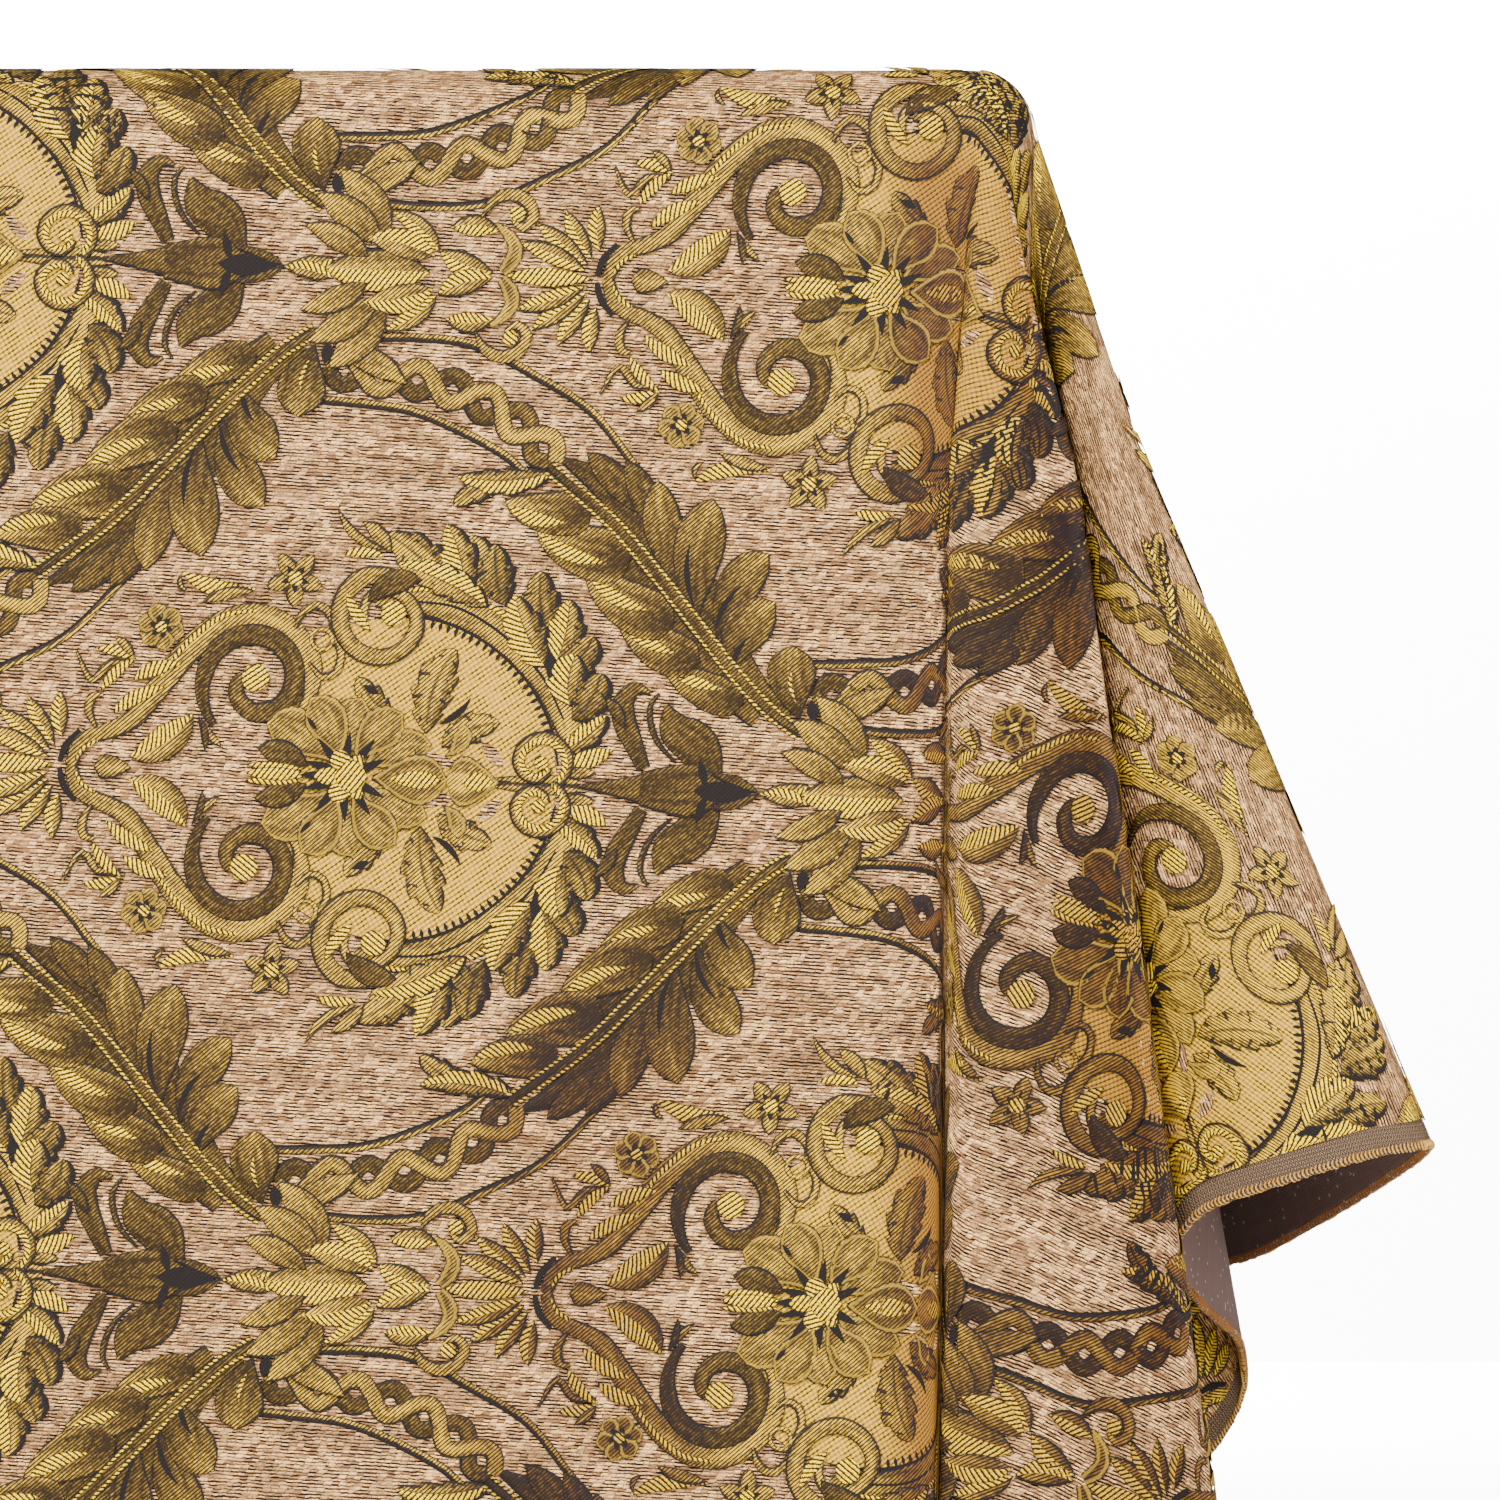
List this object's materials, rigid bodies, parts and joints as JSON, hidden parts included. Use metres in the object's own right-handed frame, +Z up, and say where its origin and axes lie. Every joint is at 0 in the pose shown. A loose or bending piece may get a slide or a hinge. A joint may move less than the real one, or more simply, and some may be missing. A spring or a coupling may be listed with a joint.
{
  "type": "chenille damask cloth on display plinth",
  "caption": "Full-width cut of chenille damask draped over a plain rounded-edge display plinth, with pulled corner folds and side drops that end in an overlocked selvedge.",
  "frame": {"origin": "on the floor, under the middle of the plinth", "axes": "+Z up; the front drop of the cloth faces -Y; +X to the right seen from the front"},
  "size_m": [0.9149, 0.5244, 0.764],
  "materials": {
    "chenille_damask": "ribbed chenille ground with satin and raised gold figures",
    "plinth_paint": "matt painted board",
    "foot_paint": "dark painted board"
  },
  "bodies": {
    "root": {"damask_cloth": "chenille_damask", "plinth_body": "plinth_paint", "plinth_foot": "foot_paint"}
  },
  "joints": []
}
